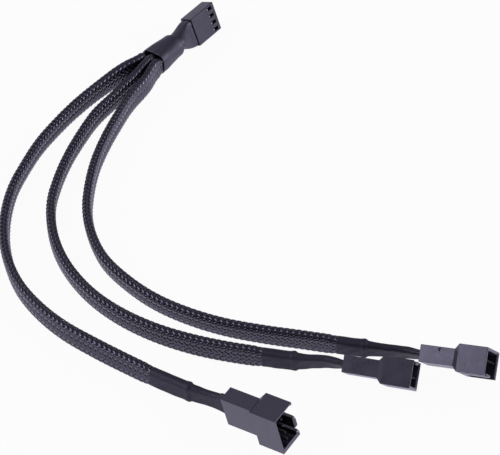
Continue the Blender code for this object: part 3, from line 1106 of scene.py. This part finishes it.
@dataclass(frozen=True)
class Braid:
    """A flat braided sleeve: strands that pass over two and under two."""

    width: float = 7.5
    thickness: float = 2.95
    strands: int = 10
    pitch: float = 1.74
    band: float = 1.08
    crown: float = 0.23
    groove: float = 0.05
    lift: float = 0.17
    calm: float = 0.35
    calm_reach: Pair = (6.0, 34.0)
    back: float = 0.06
    plateau: float = 2.4
    wander: float = 0.05
    steps_per_crossing: int = 3

    @property
    def half_flat(self) -> float:
        """Half the flat part of the section."""
        return (self.width - self.thickness) / 2

    @property
    def radius(self) -> float:
        """Distance from the section's middle line to the braid's own middle."""
        return self.thickness / 2 - self.lift - self.crown

    @property
    def girth(self) -> float:
        """Length round the section at the braid's middle."""
        return 4 * self.half_flat + 2 * math.pi * self.radius

    def profile(self) -> tuple[Array, Array]:
        """Return a strand's outline, an arch over four filaments.

        Over the share t of the half width its height is the crown times
        (1 - t^2)^0.6, less a groove where two filaments meet, and its
        back is flat.

        Returns:
            Place across the strand and height, both in millimetres.
        """
        t = np.array([-1.0, -0.75, -0.5, -0.25, 0.0, 0.25, 0.5, 0.75, 1.0])
        height = self.crown * np.maximum(1 - t**2, 0.0) ** 0.6
        height[[2, 4, 6]] -= self.groove
        across = np.concatenate([t, [0.7, -0.7]]) * self.band / 2
        return across, np.concatenate([height, [-self.back] * 2])

    def strand(self, number: int, lay: Lay, start: float, end: float) -> tuple[Array, Array, Array]:
        """Return one strand as distances along, shares round, and heights.

        The strand winds evenly round the section.  Counted in crossings
        along the sleeve, its height is a flattened cosine of period four,
        up over two strands and down under two, and strands of the other
        hand have the opposite sign, so that each passes the others in turn.
        Near the hub, where the sleeve is drawn tight, all heights are less.

        Args:
            number: The strand's number round the sleeve.
            lay: The hand in which it winds.
            start: Where it starts along the sleeve.
            end: Where it ends along the sleeve.

        Returns:
            Three arrays of shape (steps, outline points).
        """
        step = self.pitch / 2 / self.steps_per_crossing
        s = np.arange(start, end, step)[:, None]
        crossing = s / (self.pitch / 2)
        sign = lay.value
        wave = np.cos(math.pi / 2 * (2 * number + sign * crossing - 0.5))
        height = sign * self.lift * np.tanh(self.plateau * wave) / math.tanh(self.plateau)
        relief = self.calm + (1.0 - self.calm) * ease(s, *self.calm_reach)
        across, crown = self.profile()
        slant = math.atan2(self.girth / self.strands, self.pitch)
        along = s - sign * across[None, :] * math.sin(slant)
        wander = self.wander * np.sin(s * 0.11 + number * 1.7 + sign)
        turned = (
            number * self.girth / self.strands
            + sign * s * self.girth / self.strands / self.pitch
            + across[None, :] * math.cos(slant)
            + wander
        )
        return along, turned / self.girth, relief * (height + crown[None, :])


@dataclass
class Branch:
    """One branch: its sleeve, wires, end shrink tube and pin connector."""

    finish: FinishSet
    hub: Hub
    side: Side
    place: int
    route_points: list[Triple]
    lean: list[float]
    shrink_length: float
    sleeve_inside: float
    rear: Triple
    heading: float
    climb: float
    roll: float
    braid: Braid = Braid()
    lead: float = 2.5
    tip_lead: float = 4.0
    tucked: float = 3.0
    nudge: Triple = (0.20, -0.28, -0.04)
    hub_flare: float = 0.12
    hub_tuck: float = 0.22
    flare_gain: float = 1.3
    flare_start: Pair = (-0.6, 2.4)
    flare_fade: Pair = (6.0, 26.0)
    tuck_fade: Pair = (-0.8, 2.2)
    wire: float = 1.45
    shrink_wall: float = 0.25
    shrink_squeeze: float = 0.45
    covered: Pair = (7.1, 2.6)
    row_groove: float = 0.03
    print_depth: float = 0.025
    print_pitch: Pair = (1.4, 1.29)
    crease: float = 0.05
    ridge_lift: float = 0.36
    ridge_length: float = 1.0
    collar: Pair = (0.45, 0.35)
    print_fade: Pair = (0.8, 3.5)
    wire_row: float = 5.75
    row_thickness: float = 2.2
    flare_width: float = 7.8
    flare_length: float = 3.4
    flare_thickness: float = 1.9
    entry_reach: Pair = (-1.8, 1.45)
    entry_radius: float = 0.6
    edge_radius: float = 0.13
    dimple: Triple = (5.74, -1.62, 0.42)
    dimple_depth: Pair = (-6.1, -4.75)

    def __post_init__(self) -> None:
        """Work out the direction, the axes and the route."""
        a, b = math.radians(self.heading), math.radians(self.climb)
        self.direction = np.array(
            [math.cos(a) * math.cos(b), math.sin(a) * math.cos(b), math.sin(b)]
        )
        self.axes = Axes.facing(np.array(self.rear), self.direction, self.roll)
        start = (self.place * SLEEVE_PITCH, self.hub.mouth_y, self.hub.height)
        lead = (start[0], start[1] - self.lead, start[2])
        tip = np.array(self.rear) - self.direction * CLEARANCE
        between = np.array(self.route_points) + self.nudge
        ends = np.array([tip - self.direction * self.tip_lead, tip])
        self.route = Route.through(np.concatenate([[start, lead], between, ends]))
        self.shrink_start = self.route.length - self.shrink_length
        self.sleeve_end = self.shrink_start - CLEARANCE

    def name(self, piece: str) -> str:
        """Return the name of one of the branch's pieces."""
        return f"{self.side.value}_{piece}"

    def lean_at(self, place: Array) -> Array:
        """Return the sleeve's lean in degrees at distances along it."""
        even = np.linspace(0.0, self.sleeve_end, len(self.lean))
        fine = np.linspace(-20.0, self.sleeve_end + 20.0, 400)
        values = np.interp(fine, even, self.lean)
        return np.interp(place, fine, smoothed(values, 12))

    def build(self) -> None:
        right_hand = self.strands(Lay.RIGHT_HAND)
        left_hand = self.strands(Lay.LEFT_HAND)
        wires = self.wires()
        shrink = self.end_shrink()
        entry = self.entry_wires()
        housing = self.housing()
        hand_over(right_hand, Slot.BRAID, self.name("sleeve"))
        hand_over(left_hand, Slot.BRAID)
        hand_over(wires, Slot.SHRINK)
        hand_over(shrink, Slot.SHRINK, self.name("end_shrink"))
        hand_over(entry, Slot.SHRINK)
        hand_over(housing, Slot.SOCKET, self.name("socket_housing"))
        pins = [self.name(f"socket_pin_{number}") for number in range(1, PIN_COUNT + 1)]
        # The pins take the contact finish, whose dark colour is painted shade.
        for pin in pins:
            dress_node(pin, self.finish.metal)
        path = self.route.at(np.linspace(0.0, self.sleeve_end, 120)) * MM

    def section_scale(self, place: Array) -> Array:
        """Return how much of its width a sleeve keeps at distances along it."""
        squeezed = self.shrink_squeeze / self.braid.width * 2.1
        narrowed = 1.0 - squeezed * ease(place, self.sleeve_end - 3.0, self.sleeve_end + 0.4)
        flared = ease(place, *self.flare_start) * (1.0 - ease(place, *self.flare_fade))
        tucked = self.hub_tuck * (1.0 - ease(place, *self.tuck_fade)) * abs(self.place)
        return narrowed + self.hub_flare * flared - tucked

    def strands(self, lay: Lay) -> Piece:
        """Build the strands of one hand."""
        surface = Surface()
        rng = np.random.default_rng(40 + self.place * 7 + lay.value)
        shades = rng.uniform(0.2, 0.8, self.braid.strands)
        for number in range(self.braid.strands):
            along, round_share, height = self.braid.strand(
                number, lay, -self.tucked, self.sleeve_end + self.tucked
            )
            y, z = stadium(round_share, self.braid.half_flat, self.braid.radius + height)
            scale = self.section_scale(along)
            swell = 1.0 + self.flare_gain * np.maximum(scale - 1.0, 0.0)
            y, z = y * swell, z * scale
            rings = self.route.rings(along, self.lean_at(along), y, z)
            surface.add_tube(rings, float(shades[number]))
        hand = "right" if lay is Lay.RIGHT_HAND else "left"
        return surface.build(self.name(f"braid_{hand}_hand"), self.finish.braid)

    def wires(self) -> Piece:
        """Build the row of wires that fills the sleeve.

        Its outline is the height of four touching circles, the larger of
        them at each place across the row, on both sides.
        """
        radius = self.wire / 2 + 0.05
        centres = (np.arange(PIN_COUNT) - (PIN_COUNT - 1) / 2) * (self.wire - 0.02)
        reach = centres[-1] + radius
        z = np.cos(np.linspace(0.0, math.pi, 41)) * reach
        inside = np.maximum(radius**2 - (z[:, None] - centres[None, :]) ** 2, 0.0)
        y = np.sqrt(inside.max(axis=1))
        outline_y = np.concatenate([y, -y[1:-1][::-1]])[None, :]
        outline_z = np.concatenate([z, z[1:-1][::-1]])[None, :]
        place = np.arange(-self.tucked, self.sleeve_end + self.tucked, 1.0)[:, None]
        outline_z = outline_z * self.section_scale(place)
        rings = self.route.rings(place, self.lean_at(place), outline_y, outline_z)
        return tube_piece(self.name("wires"), rings, self.finish.jacket)

    def shrink_table(self) -> Array:
        """Return the end shrink tube's stations.

        Returns:
            Rows of distance into the tube, width, thickness and the share
            of the turn from the sleeve's lean to the connector's roll.
        """
        inside, length, ridge = self.sleeve_inside, self.shrink_length, self.ridge_length
        over_width = self.covered[0] - self.shrink_squeeze
        over_thickness = self.covered[1] + 2 * self.shrink_wall
        lifted = self.ridge_lift
        row, row_thickness, flare = self.wire_row, self.row_thickness, self.flare_length
        return np.array([
            (0.0, over_width, over_thickness, 0.0),
            (inside * 0.5, over_width, over_thickness, 0.02),
            (inside - 1.3 * ridge, over_width, over_thickness, 0.05),
            (inside - 0.4 * ridge, over_width + lifted, over_thickness + lifted, 0.06),
            (inside + 0.2 * ridge, over_width + lifted, over_thickness + lifted, 0.08),
            (inside + 0.8 * ridge, row + self.collar[0], row_thickness + self.collar[1], 0.12),
            (inside + 4.5 * ridge, row, row_thickness, 0.30),
            (length - flare * 1.6, row, row_thickness, 0.45),
            (length - flare * 0.6, (row * 2 + self.flare_width) / 3, row_thickness, 0.8),
            (length, self.flare_width, self.flare_thickness, 1.0),
        ])

    def end_shrink(self) -> Piece:
        """Build the tube over the sleeve's end and the row of wires.

        Rings follow the station table, smoothed over 0.7 mm, from inside
        the tube's cut edge out over it and up to the connector.  A squared
        cosine across the row sinks the grooves between the four wires, the
        braid prints through as a fine diamond relief, and a gentle ripple
        creases the skin.
        """
        table = self.shrink_table()
        place = np.concatenate([
            [1.6, 0.25, 0.0, 0.0, 0.03, 0.10], np.arange(0.2, self.shrink_length, 0.2),
            [self.shrink_length, self.shrink_length + 0.26],
        ])[:, None]
        inset = np.zeros_like(place)
        inset[:6, 0] = (0.36, 0.34, 0.26, 0.10, 0.04, 0.0)
        fine = np.linspace(-2.0, self.shrink_length + 2.0, 600)
        width, thickness, share = (
            np.interp(place, fine, smoothed(np.interp(fine, table[:, 0], column), 7))
            for column in table.T[1:]
        )
        leans = self.lean[-1] + ((self.roll + 90.0) % 180.0 - 90.0 - self.lean[-1]) * share
        turn = np.linspace(0.0, 1.0, 112, endpoint=False)[None, :]
        radius = thickness / 2 - inset
        half_flat = (width - thickness) / 2
        y, z = stadium(turn, 1.0, radius)
        flatness = np.clip(np.abs(y) / np.maximum(radius, 1e-6), 0.0, 1.0) ** 4
        z = np.where(np.abs(z) <= 1.0, z * half_flat, np.sign(z) * (half_flat + np.abs(z) - 1.0))
        past_ridge = ease(place - self.sleeve_inside, *self.print_fade)
        grooves = np.cos(math.pi * z / (width / PIN_COUNT * ROW_GATHER)) ** 2
        along, around = place / self.print_pitch[0], z / self.print_pitch[1]
        printed = np.sin(2 * math.pi * (along + around)) * np.sin(2 * math.pi * (along - around))
        printed = self.print_depth * (1 - past_ridge) * printed
        creased = self.crease * ripple(place, turn * 2 * math.pi, 21 + self.place)
        relief = (inset < 0.3) * (printed + creased)
        relief = relief - self.row_groove * past_ridge * flatness * grooves
        y = y + np.sign(y) * flatness * relief
        z = z + np.sign(z) * (1 - flatness) * relief * 0.6
        rings = self.route.rings(self.shrink_start + place, leans, y, z)
        return tube_piece(self.name("end_tube"), rings, self.finish.end_shrink)

    def entry_wires(self) -> Piece:
        """Build the wires between the end tube and the connector."""
        return short_wires(
            self.name("entry_wires"), self.axes, ROW_GATHER, self.entry_reach,
            self.entry_radius, self.finish.jacket,
        )

    def housing(self) -> Piece:
        """Build the pin connector's moulding with its small gate dimple."""
        x, y, radius = self.dimple
        angle = full_turn(20)
        depth = np.array(self.dimple_depth)[:, None]
        rings = grid(x + radius * np.cos(angle), y + radius * np.sin(angle), depth)
        knife = Surface()
        knife.add_tube(self.axes.place(rings))
        return moulding(
            self.name("socket_housing"), self.name("socket_moulding"), self.edge_radius,
            knife, self.finish.socket, self.finish.edge,
        )


def branches(finish: FinishSet, hub: Hub) -> list[Branch]:
    """Return the three branches with their routes and connector poses."""
    return [
        Branch(
            finish, hub, Side.LEFT, -1,
            route_points=[
                (-5.3, -25.3, 5.5), (-7.4, -36.3, 4.3), (-8.0, -47.3, 3.7),
                (-7.1, -58.5, 3.7), (-5.4, -69.5, 3.7), (-2.4, -80.1, 3.7),
                (1.4, -90.5, 3.7), (6.8, -100.2, 3.7), (13.6, -109.1, 3.7),
                (21.7, -116.7, 3.7), (31.0, -122.8, 3.7), (41.4, -126.8, 3.7),
                (52.3, -129.0, 3.7), (63.4, -129.5, 3.7), (74.5, -129.4, 3.7),
                (85.6, -129.0, 3.8), (96.0, -128.2, 4.1),
            ],
            lean=[0, -3, -7, -8, -8, 0, 8, 7, 4, 1, 3],
            shrink_length=24.7, sleeve_inside=12.3,
            rear=(109.0, -127.45, 5.2792), heading=-1.0, climb=9.8, roll=6.9,
        ),
        Branch(
            finish, hub, Side.MIDDLE, 0,
            route_points=[
                (-0.3, -25.5, 4.9), (-0.3, -36.5, 4.0), (0.2, -47.6, 3.7),
                (2.7, -58.5, 3.7), (6.0, -69.2, 3.7), (10.2, -79.4, 3.7),
                (15.5, -89.2, 3.7), (22.7, -97.7, 3.7), (31.3, -104.9, 3.7),
                (41.0, -110.3, 3.7), (51.6, -113.9, 3.7), (62.6, -115.4, 3.7),
                (73.8, -115.0, 3.7), (84.8, -112.9, 3.7), (95.5, -109.8, 4.1),
                (105.9, -105.9, 4.6), (115.0, -102.3, 5.3),
            ],
            lean=[0, -4, -6, -8, -6, 2, 8, 10, 7, 2, 4],
            shrink_length=23.4, sleeve_inside=9.3,
            rear=(127.5, -97.4, 6.7321), heading=18.4, climb=3.6, roll=41.1,
        ),
        Branch(
            finish, hub, Side.RIGHT, 1,
            route_points=[
                (3.6, -25.2, 4.8), (4.6, -35.1, 4.0), (7.3, -45.9, 3.7),
                (10.8, -56.7, 3.7), (15.1, -67.1, 3.7), (20.5, -76.8, 3.7),
                (27.0, -86.0, 3.7), (35.1, -93.7, 3.7), (44.6, -99.8, 3.7),
                (55.4, -103.2, 3.7), (66.6, -104.8, 3.7), (77.9, -104.2, 3.7),
                (89.0, -101.9, 3.7), (99.6, -98.1, 3.7), (110.0, -93.6, 3.7),
                (120.4, -89.2, 3.8), (130.0, -85.1, 4.2),
            ],
            lean=[0, 2, 0, -1, 2, 10, 14, 14, 13, 10, 9],
            shrink_length=24.6, sleeve_inside=8.0,
            rear=(142.8, -80.6, 5.3862), heading=14.0, climb=10.0, roll=-139.4,
        ),
    ]


# --------------------------------------------------------------------------
# Studio
# --------------------------------------------------------------------------


def stand(item: Piece, *columns: Array) -> None:
    """Link an item whose matrix has its three axes and its place as columns."""
    matrix = np.eye(4)
    matrix[:3] = np.stack(columns, axis=1)
    item.matrix_world = Matrix(matrix.tolist())
    bpy.context.scene.collection.objects.link(item)


@dataclass(frozen=True)
class Lamp:
    """One soft lamp: where it stands from the object, its size and power."""

    name: str
    direction: Triple
    distance: float
    size: float
    watts: float


@dataclass
class Studio:
    """White paper floor and wall, soft lamps and the camera."""

    centre: Triple = (0.07, -0.06, 0.0)
    floor_half: float = 1.6
    wall_radius: float = 1.5
    wall_height: float = 0.25
    wall_arc: Pair = (110.0, 215.0)
    world_strength: float = 0.25
    lamps: tuple[Lamp, ...] = (
        Lamp("lamp_left", (-0.53, -0.62, 0.58), 1.0, 0.65, 5.0),
        Lamp("lamp_right", (0.66, 0.50, 0.56), 1.2, 0.8, 3.0),
        Lamp("lamp_low", (0.84, 0.50, 0.22), 1.2, 0.35, 5.0),
        Lamp("lamp_behind", (-0.65, 0.46, 0.61), 1.2, 0.9, 0.6),
    )
    camera_place: Triple = (0.320042, -0.421708, 0.398023)
    camera_right: Triple = (0.82158, 0.57009, 0.0)
    camera_up: Triple = (-0.38224, 0.55086, 0.74192)
    focal_share: float = 3.9
    sensor: float = 36.0

    def build(self) -> None:
        """Build the paper, the lamps, the world and the camera."""
        paper = PalePaper().material("studio_paper")
        self.floor(paper)
        self.wall(paper)
        for lamp in self.lamps:
            self.add_lamp(lamp)
        self.build_world()
        self.build_camera()
        bpy.context.scene.view_settings.view_transform = "Standard"

    def floor(self, paper: Material) -> Piece:
        """Build the floor, one square of paper under the object."""
        half = self.floor_half
        mesh = bpy.data.meshes.new("studio_floor")
        corners = [(-half, -half, 0.0), (half, -half, 0.0), (half, half, 0.0), (-half, half, 0.0)]
        mesh.from_pydata(corners, [], [(0, 1, 2, 3)])
        return link_piece("studio_floor", mesh, paper)

    def wall(self, paper: Material) -> Piece:
        """Build the low round wall behind, an arc carried up in two rows."""
        angle = np.radians(np.linspace(*self.wall_arc, 61))
        low = np.stack([np.cos(angle), np.sin(angle), 0 * angle], axis=1) * self.wall_radius
        high = low + (0.0, 0.0, self.wall_height)
        count = len(angle)
        index = np.arange(count - 1)
        after = index + 1
        faces = np.stack([after, index, index + count, after + count], axis=1)
        mesh = bpy.data.meshes.new("studio_wall")
        mesh.from_pydata(np.concatenate([low, high]).tolist(), [], faces.tolist())
        return link_piece("studio_wall", mesh, paper)

    def add_lamp(self, lamp: Lamp) -> None:
        """Add a square area lamp that faces the object."""
        data = bpy.data.lights.new(lamp.name, "AREA")
        data.shape = "SQUARE"
        data.size = lamp.size
        data.energy = lamp.watts
        data.color = COOL_LIGHT[:3]
        item = bpy.data.objects.new(lamp.name, data)
        toward = unit(np.array(lamp.direction))
        side = unit(np.cross((0.0, 0.0, 1.0), toward) + (1e-6, 0.0, 0.0))
        place = np.array(self.centre) + toward * lamp.distance
        stand(item, side, np.cross(toward, side), toward, place)

    def build_world(self) -> None:
        """Make the world white to the camera and a quiet grey as light."""
        world = bpy.data.worlds.new("studio_world")
        bpy.context.scene.world = world
        world.use_nodes = True
        tree = world.node_tree
        tree.nodes.clear()
        path = tree.nodes.new("ShaderNodeLightPath")
        output = tree.nodes.new("ShaderNodeOutputWorld")
        mix = tree.nodes.new("ShaderNodeMixShader")
        light = tree.nodes.new("ShaderNodeBackground")
        light.inputs["Strength"].default_value = self.world_strength
        light.inputs["Color"].default_value = COOL_LIGHT
        white = tree.nodes.new("ShaderNodeBackground")
        white.inputs["Color"].default_value = WHITE
        tree.links.new(path.outputs["Is Camera Ray"], mix.inputs["Fac"])
        tree.links.new(light.outputs["Background"], mix.inputs[1])
        tree.links.new(white.outputs["Background"], mix.inputs[2])
        tree.links.new(mix.outputs["Shader"], output.inputs["Surface"])

    def build_camera(self) -> None:
        """Stand the camera where the photograph was taken from."""
        data = bpy.data.cameras.new("front_camera")
        data.sensor_fit = "HORIZONTAL"
        data.sensor_width = self.sensor
        data.lens = self.sensor * self.focal_share
        data.clip_start = 0.02
        data.clip_end = 20.0
        item = bpy.data.objects.new("front_camera", data)
        right, up = np.array(self.camera_right), np.array(self.camera_up)
        stand(item, right, up, np.cross(right, up), self.camera_place)
        bpy.context.scene.camera = item


def write_sizes() -> None:
    """Hold a helper that turns a pair of box corners into lists; it writes nothing."""

    def plain(bounds: object) -> list[list[float]]:
        """Return a pair of corners as lists of numbers."""
        return [[float(value) for value in corner] for corner in bounds]


def main() -> None:
    """Build the studio and the cable, piece by piece."""
    logging.basicConfig(level=logging.INFO, format="%(name)s %(message)s")
    Studio().build()
    finish = FinishSet()
    plug = SocketPlug(finish)
    hub = Hub(finish, plug)
    for branch in branches(finish, hub):
        branch.build()
    plug.build()
    hub.build()
    write_sizes()


if __name__ == "__main__":
    main()
